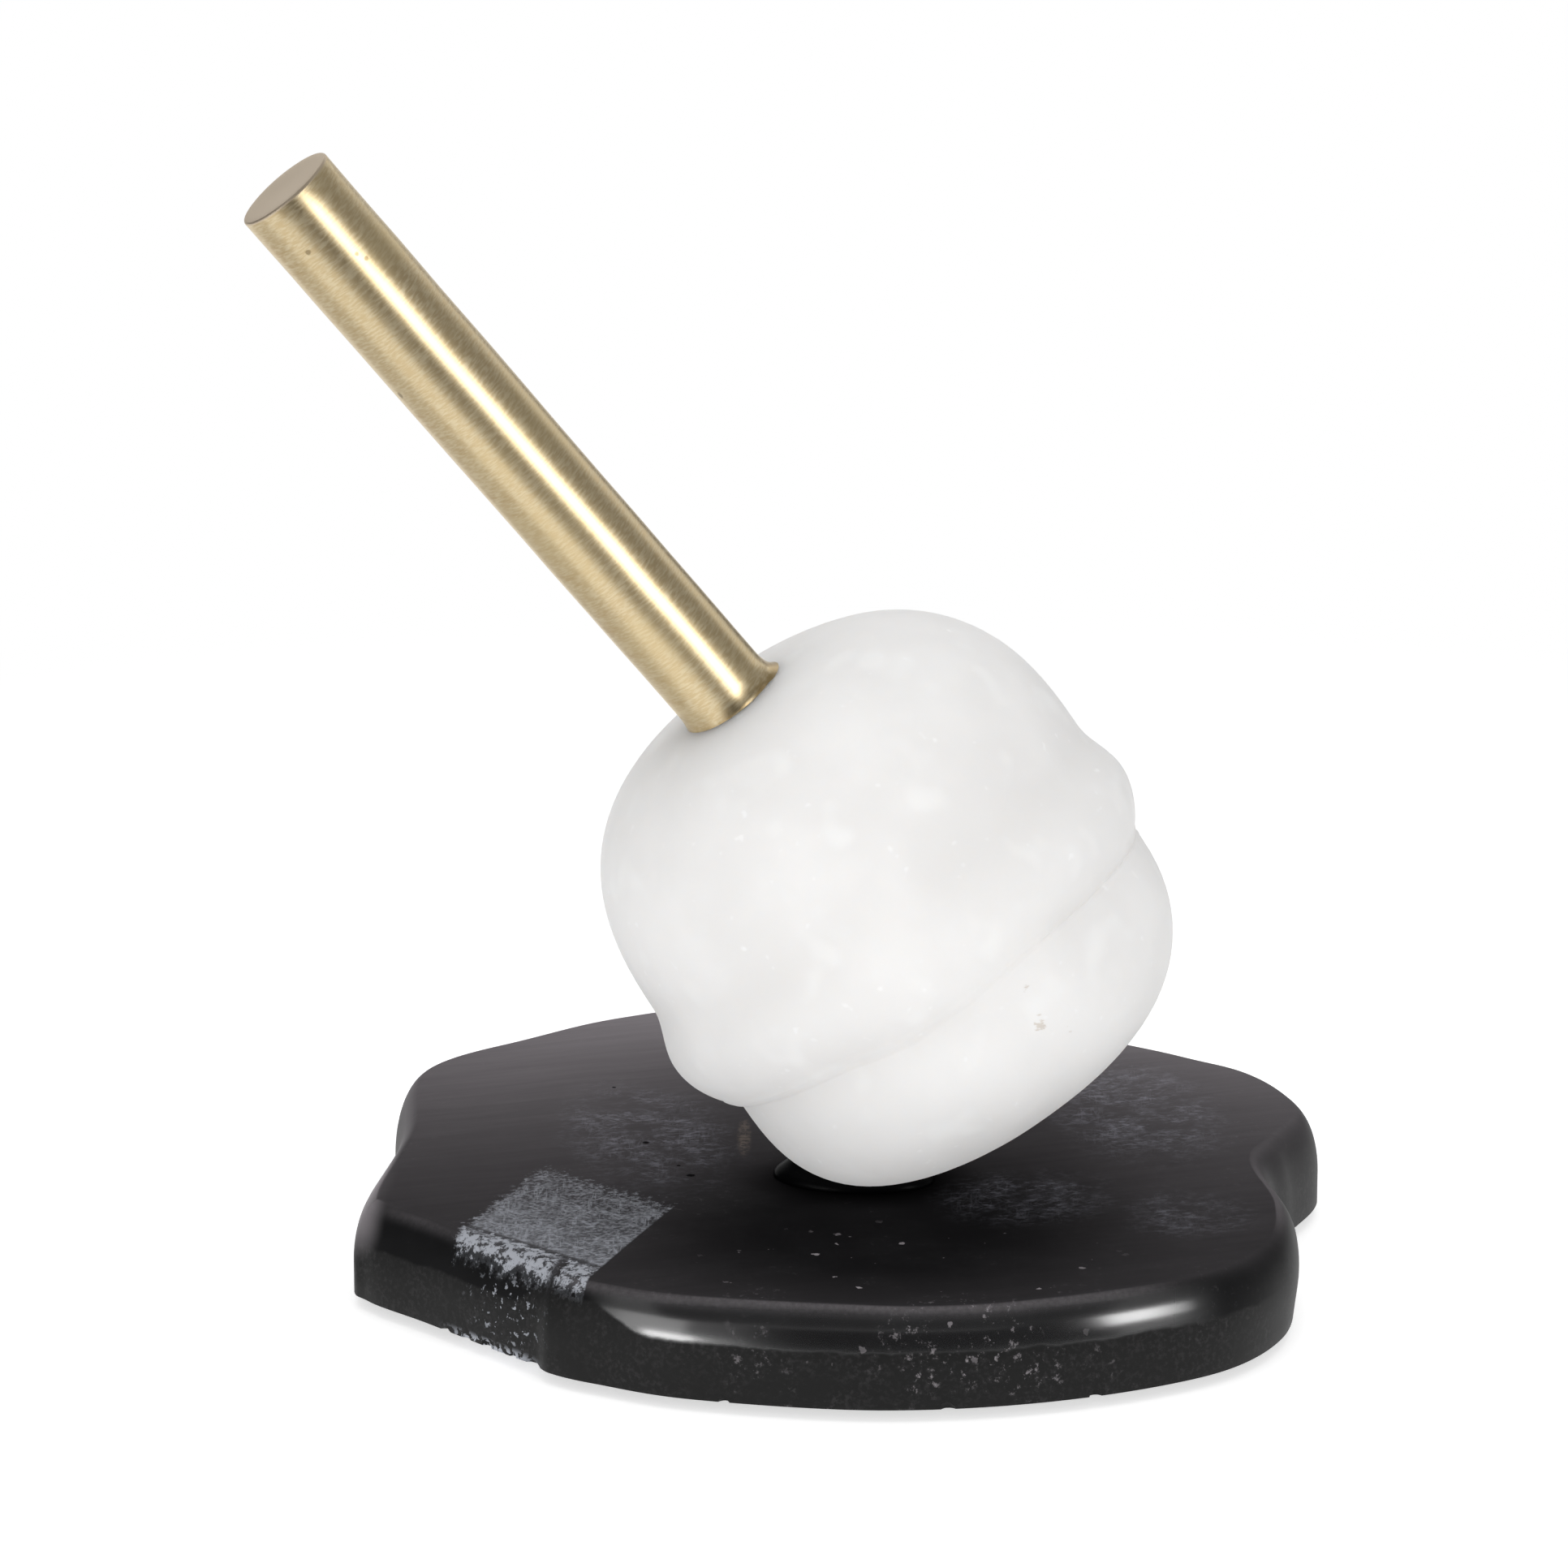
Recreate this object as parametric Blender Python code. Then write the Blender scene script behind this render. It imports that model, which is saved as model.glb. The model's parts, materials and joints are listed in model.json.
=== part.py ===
"""Stone lollipop ornament: a carved marble head on a brass stick, set leaning on a puddle-shaped slab.

Metres, +Z up. The origin is the middle of the felt underside, on the surface that the ornament
stands on. The head leans to the left (-X) and the brass stick leans a little further.
"""

import math

import bmesh
import bpy
from mathutils import Matrix, Vector

# Fits
CLEARANCE = 0.0003

# Felt underlay
FELT_THICKNESS = 0.001
FELT_INSET = 0.006

# Base slab: knots of its plan outline, counterclockwise from the front left lobe
SLAB_THICKNESS = 0.012
SLAB_EDGE_RADIUS = 0.0042
SLAB_ARRIS = 0.0005
SLAB_EDGE_STEPS = 6
SLAB_KNOT_STEPS = 5
SLAB_KNOTS = [
    (-0.0586, -0.0155),
    (-0.0568, -0.0215),
    (-0.0495, -0.0290),
    (-0.0360, -0.0440),
    (-0.0175, -0.0545),
    (0.0040, -0.0580),
    (0.0245, -0.0550),
    (0.0425, -0.0465),
    (0.0515, -0.0345),
    (0.0536, -0.0200),
    (0.0516, -0.0055),
    (0.0550, 0.0030),
    (0.0590, 0.0155),
    (0.0535, 0.0295),
    (0.0420, 0.0395),
    (0.0225, 0.0515),
    (-0.0005, 0.0570),
    (-0.0225, 0.0565),
    (-0.0425, 0.0440),
    (-0.0545, 0.0305),
    (-0.0552, 0.0075),
]

# Lollipop head, turned about its own axis from the bottom pole up
HEAD_SIDES = 48
LOWER_DOME_RADIUS = 0.0287
LOWER_DOME_HEIGHT = 0.0201
LOWER_DOME_POWER = 2.6
CREASE_HEIGHT = 0.0006
BAND_LIP_RADIUS = 0.0296
BAND_RADIUS = 0.0321
BAND_RISE = 0.0083
WAIST_RADIUS = 0.0304
WAIST_RISE = 0.0070
UPPER_DOME_HEIGHT = 0.0276
UPPER_DOME_POWER = 2.55
POLE_FLAT_RADIUS = 0.0012
DOME_STEPS = 11
BAND_STEPS = 4

# How the head stands on the slab
HEAD_LEAN = math.radians(34.0)
HEAD_HEADING = math.radians(171.1)
HEAD_CONTACT = (0.0022, -0.0107)
GLUE_LINE = 0.0009
SEAT_SEARCH_STEPS = 400

# Brass stick: its entry point and tilt are measured in the head's own frame
STICK_SIDES = 40
STICK_ENTRY = (-0.0002, 0.0084)
STICK_TILT = math.radians(11.9)
STICK_TILT_HEADING = math.radians(71.7)
STICK_LENGTH = 0.0813
STICK_TIP_DIAMETER = 0.0122
STICK_FOOT_DIAMETER = 0.0118
STICK_TIP_ROUND = 0.0007
STICK_FLARE = 0.0010
STICK_FLARE_SHIFT = 0.0003
STICK_FLARE_HEADING = math.radians(119.0)
STICK_FLARE_HEIGHT = 0.0026
STICK_CURVE_STEPS = 3

# Steel dowels and the cured adhesive at their ends
DOWEL_SIDES = 24
STICK_DOWEL_DIAMETER = 0.006
STICK_DOWEL_IN_STICK = 0.018
STICK_DOWEL_IN_HEAD = 0.016
BASE_DOWEL_DIAMETER = 0.006
BASE_DOWEL_IN_SLAB = 0.0065
BASE_DOWEL_IN_HEAD = 0.014
DOWEL_CHAMFER = 0.0005
DRILL_POINT_ANGLE = math.radians(118.0)
DRILL_WEB_RADIUS = 0.00003
PLUG_TIP_RADIUS = 0.0003

# Adhesive bead squeezed out round the seat
BEAD_SIDES = 48
BEAD_HALF_LENGTH = 0.0135
BEAD_HALF_WIDTH = 0.0092
BEAD_SKIRT_ANGLE = math.radians(47.0)
BEAD_TOP_HALF_WIDTH = 0.0030

# Shading
SHARP_EDGE_ANGLE = math.radians(32.0)


def clear_scene():
    for obj in list(bpy.data.objects):
        bpy.data.objects.remove(obj)


def make_material(name, colour, roughness, metallic=0.0):
    material = bpy.data.materials.new(name)
    material.use_nodes = True
    shader = material.node_tree.nodes["Principled BSDF"]
    shader.inputs["Base Color"].default_value = (*colour, 1.0)
    shader.inputs["Roughness"].default_value = roughness
    shader.inputs["Metallic"].default_value = metallic
    return material


def finish(bm, name, material):
    """Turns a bmesh into a named object with outward faces and smooth shading."""
    bmesh.ops.recalc_face_normals(bm, faces=bm.faces[:])
    mesh = bpy.data.meshes.new(name)
    bm.to_mesh(mesh)
    bm.free()
    mesh.shade_smooth()
    mesh.set_sharp_from_angle(angle=SHARP_EDGE_ANGLE)
    if material:
        mesh.materials.append(material)
    obj = bpy.data.objects.new(name, mesh)
    bpy.context.scene.collection.objects.link(obj)
    return obj


def raise_cap(bm, cap, rise):
    """Extrudes the cap face straight up and gives the new cap."""
    made = bmesh.ops.extrude_face_region(bm, geom=[cap])["geom"]
    cap = next(item for item in made if isinstance(item, bmesh.types.BMFace))
    bmesh.ops.translate(bm, vec=(0.0, 0.0, rise), verts=cap.verts[:])
    return cap


def turned(name, sections, sides, material=None):
    """A closed round solid through sections of (height, radius) or (height, radius, centre)."""
    bm = bmesh.new()
    height, radius = sections[0][:2]
    centre = Vector((0.0, 0.0, height))
    made = bmesh.ops.create_circle(bm, cap_ends=True, radius=radius, segments=sides)
    bmesh.ops.translate(bm, vec=centre, verts=made["verts"])
    cap = bottom = next(iter(bm.faces))
    for section in sections[1:]:
        shift = section[2] if len(section) > 2 else (0.0, 0.0)
        target = Vector((*shift, section[0]))
        inner = cap
        cap = raise_cap(bm, cap, 0.0)
        if inner != bottom:
            bm.faces.remove(inner)
        grow = section[1] / radius
        about = Matrix.Translation(-centre)
        bmesh.ops.scale(bm, vec=(grow, grow, 1.0), space=about, verts=cap.verts[:])
        bmesh.ops.translate(bm, vec=target - centre, verts=cap.verts[:])
        radius = section[1]
        centre = target
    return finish(bm, name, material)


def place(obj, parent=None, location=(0.0, 0.0, 0.0), lean=0.0, heading=0.0):
    """Leans the object's own Z axis over towards a compass heading."""
    obj.parent = parent
    obj.location = location
    obj.rotation_euler = (Matrix.Rotation(heading, 3, "Z") @ Matrix.Rotation(lean, 3, "Y")).to_euler()
    return obj


def make_empty(name, **placing):
    empty = bpy.data.objects.new(name, None)
    bpy.context.scene.collection.objects.link(empty)
    return place(empty, **placing)


def cut(obj, cutter):
    cutter.hide_render = True
    cutter.display_type = "WIRE"
    boolean = obj.modifiers.new("cut_" + cutter.name, "BOOLEAN")
    boolean.operation = "DIFFERENCE"
    boolean.solver = "EXACT"
    boolean.object = cutter


def smooth_outline(knots, steps):
    """Points of a closed Catmull-Rom curve through the knots."""
    points = []
    count = len(knots)
    for index in range(count):
        before, start, end, after = (Vector(knots[(index + k) % count]) for k in (-1, 0, 1, 2))
        for step in range(steps):
            t = step / steps
            slope = end - before
            bend = 2 * before - 5 * start + 4 * end - after
            twist = 3 * start - before - 3 * end + after
            points.append(start + (slope * t + bend * t**2 + twist * t**3) / 2)
    return points


def inset_outline(points, inset):
    """The outline moved inwards along its own normals."""
    moved = []
    for index, point in enumerate(points):
        along = (points[(index + 1) % len(points)] - points[index - 1]).normalized()
        moved.append(point + inset * Vector((-along.y, along.x)))
    return moved


def flat_face(bm, outline, height):
    return bm.faces.new([bm.verts.new((point.x, point.y, height)) for point in outline])


def dome(radius, height, power, steps):
    """(rise, radius) of a superellipse dome from its rim to the edge of its flat pole."""
    last = math.acos((POLE_FLAT_RADIUS / radius) ** (power / 2))
    angles = [last * step / steps for step in range(steps + 1)]
    return [(height * math.sin(a) ** (2 / power), radius * math.cos(a) ** (2 / power)) for a in angles]


def head_profile():
    """(height, radius) of the head from its bottom pole to its top pole."""
    lower = dome(LOWER_DOME_RADIUS, LOWER_DOME_HEIGHT, LOWER_DOME_POWER, DOME_STEPS)
    profile = [(LOWER_DOME_HEIGHT - rise, radius) for rise, radius in reversed(lower)]
    lip = LOWER_DOME_HEIGHT + CREASE_HEIGHT
    for step in range(BAND_STEPS + 1):
        share = step / BAND_STEPS
        radius = BAND_RADIUS - (BAND_RADIUS - BAND_LIP_RADIUS) * (1 - share) ** 2
        profile.append((lip + BAND_RISE * share, radius))
    crown = lip + BAND_RISE
    for step in range(1, BAND_STEPS + 1):
        share = step / BAND_STEPS
        drop = (BAND_RADIUS - WAIST_RADIUS) * share**2 * (3 - 2 * share)
        profile.append((crown + WAIST_RISE * share, BAND_RADIUS - drop))
    waist = crown + WAIST_RISE
    upper = dome(WAIST_RADIUS, UPPER_DOME_HEIGHT, UPPER_DOME_POWER, DOME_STEPS)
    return profile + [(waist + rise, radius) for rise, radius in upper[1:]]


def lowest_of_head():
    """Where the leaning head comes lowest, as a point in its own frame."""
    rim = dome(LOWER_DOME_RADIUS, LOWER_DOME_HEIGHT, LOWER_DOME_POWER, SEAT_SEARCH_STEPS)
    points = [Vector((radius, 0.0, LOWER_DOME_HEIGHT - rise)) for rise, radius in rim]
    return min(points, key=lambda at: at.z * math.cos(HEAD_LEAN) - at.x * math.sin(HEAD_LEAN))


def grown_profile(profile, growth):
    """The profile moved outwards along its own normals, for what has to clear it."""
    grown = []
    last = len(profile) - 1
    for index, (height, radius) in enumerate(profile):
        below = profile[max(index - 1, 0)]
        above = profile[min(index + 1, last)]
        outward = Vector((below[1] - above[1], above[0] - below[0])).normalized()
        grown.append((height + growth * outward.x, radius + growth * outward.y))
    return grown


def drill_cone(radius):
    return radius / math.tan(DRILL_POINT_ANGLE / 2)


def drilled_hole(diameter, depth, mouth):
    """Sections of a drill that cuts a blind hole: from the point at -depth up to the mouth."""
    radius = diameter / 2
    point = drill_cone(radius - DRILL_WEB_RADIUS)
    return [(-depth - point, DRILL_WEB_RADIUS), (-depth, radius), (mouth, radius)]


def adhesive_plug(diameter, depth):
    """Sections of the cured adhesive under a dowel end, clear of the drilled point round it."""
    radius = diameter / 2
    floor = -depth - 2 * CLEARANCE
    point = drill_cone(radius - PLUG_TIP_RADIUS)
    return [(floor - point, PLUG_TIP_RADIUS), (floor, radius), (floor + CLEARANCE, radius)]


def dowel_sections(diameter, bottom, top):
    radius = diameter / 2
    tip = radius - DOWEL_CHAMFER
    return [(bottom, tip), (bottom + DOWEL_CHAMFER, radius), (top - DOWEL_CHAMFER, radius), (top, tip)]


def make_felt(outline, material):
    bm = bmesh.new()
    cap = flat_face(bm, inset_outline(outline, FELT_INSET), 0.0)
    raise_cap(bm, cap, FELT_THICKNESS)
    return finish(bm, "felt_underlay", material)


def make_slab(outline, material):
    """The slab rises plumb from a small arris and rolls over into its top face."""
    bm = bmesh.new()
    floor = FELT_THICKNESS + CLEARANCE
    underside = flat_face(bm, outline, floor + SLAB_ARRIS)
    cap = raise_cap(bm, underside, SLAB_THICKNESS - SLAB_ARRIS - SLAB_EDGE_RADIUS)
    bmesh.ops.recalc_face_normals(bm, faces=bm.faces[:])
    bmesh.ops.inset_region(
        bm, faces=[underside], thickness=SLAB_ARRIS, depth=SLAB_ARRIS, use_even_offset=True
    )
    for step in range(SLAB_EDGE_STEPS):
        start, end = (math.pi / 2 * (step + k) / SLAB_EDGE_STEPS for k in (0, 1))
        inwards = SLAB_EDGE_RADIUS * (math.cos(start) - math.cos(end))
        upwards = SLAB_EDGE_RADIUS * (math.sin(end) - math.sin(start))
        bmesh.ops.inset_region(bm, faces=[cap], thickness=inwards, depth=upwards, use_even_offset=True)
    return finish(bm, "base_slab", material)


def stick_sections():
    """The stick from below its trimmed foot, through the lopsided flare, to its rounded tip."""
    foot = STICK_FOOT_DIAMETER / 2
    tip = STICK_TIP_DIAMETER / 2
    heading = Vector((math.cos(STICK_FLARE_HEADING), math.sin(STICK_FLARE_HEADING)))
    shift = heading * STICK_FLARE_SHIFT
    sections = [(-STICK_FLARE_HEIGHT, foot + STICK_FLARE, shift)]
    for step in range(STICK_CURVE_STEPS + 1):
        share = step / STICK_CURVE_STEPS
        left = (1 - share) ** 2
        sections.append((STICK_FLARE_HEIGHT * share, foot + STICK_FLARE * left, shift * left))
    shoulder = STICK_LENGTH - STICK_TIP_ROUND
    for step in range(STICK_CURVE_STEPS + 1):
        angle = math.pi / 2 * step / STICK_CURVE_STEPS
        rounding = STICK_TIP_ROUND * (1 - math.cos(angle))
        sections.append((shoulder + STICK_TIP_ROUND * math.sin(angle), tip - rounding))
    return sections


def make_bead(material):
    """A low oval skirt on the slab, rising to the head that it holds."""
    rise = (BEAD_HALF_WIDTH - BEAD_TOP_HALF_WIDTH) * math.tan(BEAD_SKIRT_ANGLE)
    sections = [(CLEARANCE, BEAD_HALF_WIDTH), (CLEARANCE + rise, BEAD_TOP_HALF_WIDTH)]
    bead = turned("adhesive_bead", sections, BEAD_SIDES, material)
    bead.data.transform(Matrix.Diagonal((BEAD_HALF_LENGTH / BEAD_HALF_WIDTH, 1.0, 1.0, 1.0)))
    return bead


def make_dowel(name, parent, diameter, down, up, bodies, materials, placing):
    """A steel dowel, its two blind holes and the adhesive at both ends."""
    steel, adhesive = materials
    sections = dowel_sections(diameter, -down, up)
    place(turned(name, sections, DOWEL_SIDES, steel), parent, **placing)
    bore = diameter + 2 * CLEARANCE
    turn_over = Matrix.Rotation(math.pi, 4, "X")
    for end, body, depth in zip(("low", "high"), bodies, (down, up)):
        drill = drilled_hole(bore, depth + 2 * CLEARANCE, down + up)
        hole = turned(f"{name}_{end}_drill", drill, DOWEL_SIDES)
        plug = turned(f"{name}_{end}_adhesive", adhesive_plug(diameter, depth), DOWEL_SIDES, adhesive)
        for obj in (hole, plug):
            if end == "high":
                obj.data.transform(turn_over)
            place(obj, parent, **placing)
        cut(body, hole)


def build():
    clear_scene()
    black_marble = make_material("polished_black_marble", (0.022, 0.022, 0.024), 0.38)
    white_marble = make_material("honed_white_marble", (0.80, 0.79, 0.77), 0.5)
    brass = make_material("brushed_brass", (0.66, 0.53, 0.30), 0.3, 1.0)
    steel = make_material("bright_steel", (0.55, 0.55, 0.55), 0.35, 1.0)
    epoxy = make_material("black_epoxy", (0.01, 0.01, 0.011), 0.12)
    felt = make_material("black_felt", (0.03, 0.03, 0.03), 0.95)

    outline = smooth_outline(SLAB_KNOTS, SLAB_KNOT_STEPS)
    make_felt(outline, felt)
    slab = make_slab(outline, black_marble)
    slab_top = FELT_THICKNESS + CLEARANCE + SLAB_THICKNESS

    # The head's lowest point is set over the contact point
    turn = Matrix.Rotation(HEAD_HEADING, 3, "Z") @ Matrix.Rotation(HEAD_LEAN, 3, "Y")
    seat = Vector((*HEAD_CONTACT, slab_top))
    pole = seat + Vector((0.0, 0.0, GLUE_LINE)) - turn @ lowest_of_head()
    head_axis = make_empty("head_axis", location=pole, lean=HEAD_LEAN, heading=HEAD_HEADING)
    profile = head_profile()
    head = place(turned("lollipop_head", profile, HEAD_SIDES, white_marble), head_axis)
    clear_of_head = place(turned("head_envelope", grown_profile(profile, CLEARANCE), HEAD_SIDES), head_axis)

    # The stick stands on the upper dome, trimmed to its curve
    off_axis = math.hypot(*STICK_ENTRY) / WAIST_RADIUS
    waist = LOWER_DOME_HEIGHT + CREASE_HEIGHT + BAND_RISE + WAIST_RISE
    rise = UPPER_DOME_HEIGHT * (1 - off_axis**UPPER_DOME_POWER) ** (1 / UPPER_DOME_POWER)
    on_dome = {"location": (*STICK_ENTRY, waist + rise), "lean": STICK_TILT, "heading": STICK_TILT_HEADING}
    stick = place(turned("stick", stick_sections(), STICK_SIDES, brass), head_axis, **on_dome)
    cut(stick, clear_of_head)

    bead = place(make_bead(epoxy), location=seat, heading=HEAD_HEADING)
    cut(bead, clear_of_head)

    make_dowel(
        "stick_dowel",
        head_axis,
        STICK_DOWEL_DIAMETER,
        STICK_DOWEL_IN_HEAD,
        STICK_DOWEL_IN_STICK,
        (head, stick),
        (steel, epoxy),
        on_dome,
    )
    make_dowel(
        "base_dowel",
        None,
        BASE_DOWEL_DIAMETER,
        BASE_DOWEL_IN_SLAB,
        GLUE_LINE + BASE_DOWEL_IN_HEAD,
        (slab, head),
        (steel, epoxy),
        {"location": seat},
    )
    cut(bead, bpy.data.objects["base_dowel_low_drill"])


build()
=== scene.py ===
import json
from functools import partial
from math import cos, pi, radians, sin

import bpy
from mathutils import Matrix, Vector

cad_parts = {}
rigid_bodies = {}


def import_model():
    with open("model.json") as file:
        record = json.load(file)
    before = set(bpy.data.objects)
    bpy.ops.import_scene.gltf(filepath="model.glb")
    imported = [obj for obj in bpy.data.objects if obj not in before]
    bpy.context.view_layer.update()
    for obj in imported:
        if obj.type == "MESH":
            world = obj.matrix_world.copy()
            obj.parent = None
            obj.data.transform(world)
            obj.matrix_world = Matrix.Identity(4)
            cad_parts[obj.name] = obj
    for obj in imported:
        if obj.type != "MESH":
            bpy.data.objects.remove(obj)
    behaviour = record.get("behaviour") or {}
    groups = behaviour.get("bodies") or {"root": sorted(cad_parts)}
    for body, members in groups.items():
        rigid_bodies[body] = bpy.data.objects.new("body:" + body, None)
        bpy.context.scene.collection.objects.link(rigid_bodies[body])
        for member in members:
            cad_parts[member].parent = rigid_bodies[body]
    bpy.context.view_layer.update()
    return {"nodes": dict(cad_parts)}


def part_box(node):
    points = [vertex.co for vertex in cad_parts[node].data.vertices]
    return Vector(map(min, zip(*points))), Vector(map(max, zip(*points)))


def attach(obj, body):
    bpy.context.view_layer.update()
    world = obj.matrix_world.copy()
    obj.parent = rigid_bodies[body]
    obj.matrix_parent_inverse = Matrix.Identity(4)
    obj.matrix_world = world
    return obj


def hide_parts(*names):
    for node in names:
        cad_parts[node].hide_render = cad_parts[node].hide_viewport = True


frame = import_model()
nodes = frame["nodes"]
print("frame loaded", sorted(nodes))


# small helpers: selection, modifiers, placing

def workOn(obj):
    if bpy.context.object and bpy.context.object.mode != "OBJECT":
        bpy.ops.object.mode_set(mode="OBJECT")
    bpy.ops.object.select_all(action="DESELECT")
    obj.select_set(True)
    bpy.context.view_layer.objects.active = obj
    return obj


def added(name):
    obj = bpy.context.object
    obj.name = name
    obj.data.name = name
    return obj


def pick(obj, test):
    # leaves edit mode on with the vertices that pass the test selected
    bpy.ops.object.mode_set(mode="EDIT")
    bpy.ops.mesh.select_mode(type="VERT")
    bpy.ops.mesh.select_all(action="DESELECT")
    bpy.ops.object.mode_set(mode="OBJECT")
    for vert in obj.data.vertices:
        vert.select = test(vert.co)
    bpy.ops.object.mode_set(mode="EDIT")


def editAll():
    bpy.ops.object.mode_set(mode="EDIT")
    bpy.ops.mesh.select_mode(type="VERT")
    bpy.ops.mesh.select_all(action="SELECT")


def extrude(x=0.0, y=0.0, z=0.0):
    bpy.ops.mesh.extrude_region_move(TRANSFORM_OT_translate={"value": (x, y, z)})


def closeUp(obj, gap=1e-6):
    editAll()
    bpy.ops.mesh.remove_doubles(threshold=gap)
    bpy.ops.mesh.normals_make_consistent(inside=False)
    bpy.ops.object.mode_set(mode="OBJECT")
    return obj


def modify(obj, kind, **settings):
    workOn(obj)
    made = obj.modifiers.new(kind.lower(), kind)
    for name, value in settings.items():
        setattr(made, name, value)
    bpy.ops.object.modifier_apply(modifier=made.name)
    return obj


def cutWith(obj, cutter):
    modify(obj, "BOOLEAN", operation="DIFFERENCE", solver="EXACT", object=cutter)
    bpy.data.objects.remove(cutter)
    return obj


def uneven(obj, size, depth, group="", direction="NORMAL"):
    # hand work is never quite true: a slow noise moves the surface by a fraction of a millimetre
    noise = bpy.data.textures.new(obj.name + "Uneven", "CLOUDS")
    noise.noise_scale = size
    noise.noise_depth = 1
    return modify(obj, "DISPLACE", texture=noise, texture_coords="LOCAL", strength=depth, mid_level=0.5,
                  vertex_group=group, direction=direction)


def settle(obj, place):
    workOn(obj)
    obj.matrix_world = place
    bpy.ops.object.transform_apply(location=True, rotation=True, scale=True)
    return obj


def smoothOver(obj, degrees):
    workOn(obj)
    bpy.ops.object.shade_smooth_by_angle(angle=radians(degrees))
    return obj


# small helpers: colour and shader nodes

def linear(code):
    parts = [int(code[k:k + 2], 16) / 255 for k in (1, 3, 5)]
    return [p / 12.92 if p <= 0.04045 else ((p + 0.055) / 1.055) ** 2.4 for p in parts] + [1.0]


def addNode(tree, kind, links=(), out=0, **settings):
    # links hold values or sockets, in the order of the node's inputs or by name; gives one output back
    made = tree.nodes.new("ShaderNode" + kind)
    for name, value in settings.items():
        setattr(made, name, value)
    for socket, value in links.items() if isinstance(links, dict) else enumerate(links):
        if isinstance(value, bpy.types.NodeSocket):
            tree.links.new(value, made.inputs[socket])
        else:
            made.inputs[socket].default_value = value
    return made.outputs[out] if made.outputs else made


def newMaterial(name):
    made = bpy.data.materials.new(name)
    made.use_nodes = True
    made.node_tree.nodes.clear()
    add = partial(addNode, made.node_tree)
    return made, add, add("TexCoord", out="Object")


def finishPiece(obj, cadNode, material):
    obj.data.materials.clear()
    obj.data.materials.append(material)
    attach(obj, "root")
    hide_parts(cadNode)
    print("piece", obj.name, len(obj.data.polygons), "faces")
    return obj


# where the head stands: its axis from the CAD dimensions, its pole from the CAD mesh

headPart = {
    "lean": radians(34.0), "heading": radians(171.1), "sides": 144,
    "lowerRadius": 0.0287, "lowerHeight": 0.0211, "lowerPower": 2.6,
    "creaseRise": 0.0017, "lipRadius": 0.0297, "bandRadius": 0.0321, "bandRise": 0.0079,
    "waistRadius": 0.0304, "waistRise": 0.0070,
    "upperHeight": 0.0276, "upperPower": 2.55,
    "lowerSlide": 0.0007, "creaseDip": 0.0011, "creaseDipTurn": radians(100),
    "uneven": 0.0004, "unevenSize": 0.022,
    "slideReach": 0.018, "dipSize": 0.0035, "dipReach": 0.011,
    "blemishes": (((.0209, -.0385, .0461), .0004), ((.0228, -.0387, .0419), .0010),
                  ((.0264, -.0368, .0403), .0005)),
}
headTurn = Matrix.Rotation(headPart["heading"], 4, "Z") @ Matrix.Rotation(headPart["lean"], 4, "Y")
headAxis = (headTurn @ Vector((0, 0, 1))).to_3d()
headVerts = [v.co for v in nodes["lollipop_head"].data.vertices]
lowest = min(co.dot(headAxis) for co in headVerts)
poleVerts = [co for co in headVerts if co.dot(headAxis) < lowest + 1e-5]
headPole = sum(poleVerts, Vector()) / len(poleVerts)
headPlace = Matrix.Translation(headPole) @ headTurn
print("head pole", [round(c, 5) for c in headPole])


def superDome(radius, rise, power, steps):
    angles = [pi / 2 * k / steps for k in range(steps + 1)]
    return [(radius * max(cos(a), 0) ** (2 / power), rise * sin(a) ** (2 / power)) for a in angles]


def headProfile(p):
    lower = superDome(p["lowerRadius"], p["lowerHeight"], p["lowerPower"], 26)
    points = [(r, p["lowerHeight"] - rise) for r, rise in reversed(lower)]
    rim = p["lowerHeight"]
    # the crease: a soft step out to the rounded lip of the band
    step = p["lipRadius"] - p["lowerRadius"]
    for k in range(1, 7):
        t = k / 6
        points.append((p["lowerRadius"] + step * t * t * (3 - 2 * t), rim + p["creaseRise"] * t))
    lip = rim + p["creaseRise"]
    crown = rim + p["bandRise"]
    for k in range(1, 13):
        t = k / 12
        points.append((p["bandRadius"] - (p["bandRadius"] - p["lipRadius"]) * (1 - t) ** 2,
                       lip + (crown - lip) * t))
    for k in range(1, 13):
        t = k / 12
        points.append((p["bandRadius"] - (p["bandRadius"] - p["waistRadius"]) * t * t * (3 - 2 * t),
                       crown + p["waistRise"] * t))
    waist = crown + p["waistRise"]
    upper = superDome(p["waistRadius"], p["upperHeight"], p["upperPower"], 34)
    return points + [(r, waist + rise) for r, rise in upper[1:]]


def turnedHead(name, p):
    profile = headProfile(p)
    bpy.ops.mesh.primitive_plane_add(size=0.001)
    head = added(name)
    editAll()
    bpy.ops.mesh.merge(type="CENTER")
    for before, after in zip(profile, profile[1:]):
        extrude(x=after[0] - before[0], z=after[1] - before[1])
    bpy.ops.mesh.select_all(action="SELECT")
    bpy.ops.mesh.spin(steps=p["sides"], angle=2 * pi, center=(0, 0, 0), axis=(0, 0, 1))
    closeUp(head, 5e-6)
    return head


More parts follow.
